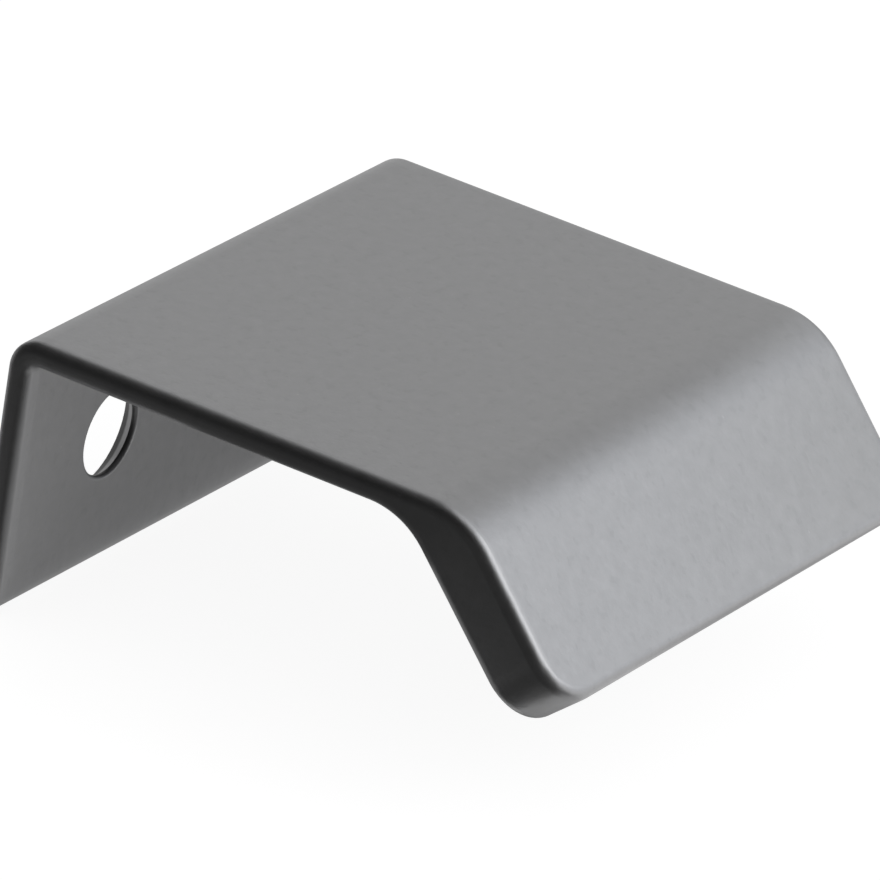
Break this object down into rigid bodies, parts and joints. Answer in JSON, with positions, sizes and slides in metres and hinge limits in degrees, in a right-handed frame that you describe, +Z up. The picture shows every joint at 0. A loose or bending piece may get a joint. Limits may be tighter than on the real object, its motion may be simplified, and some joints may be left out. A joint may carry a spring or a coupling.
{
  "type": "tab pull",
  "caption": "Metal edge pull for a door or drawer front: a flange with countersunk screw holes behind it, a flat top over its edge and a thick sloping lip as finger grip.",
  "frame": {"origin": "midway between the screw holes, on the flange's inner face, which meets the back of the door or drawer front", "axes": "+X along the pull's width, -Y from the flange towards the finger lip, +Z up, square to the flat top"},
  "size_m": [0.038, 0.0364, 0.0163],
  "materials": {
    "pull_metal": "satin grey, fine blasted surface with all rims rounded"
  },
  "bodies": {
    "root": {"tab_pull": "pull_metal"}
  },
  "joints": []
}
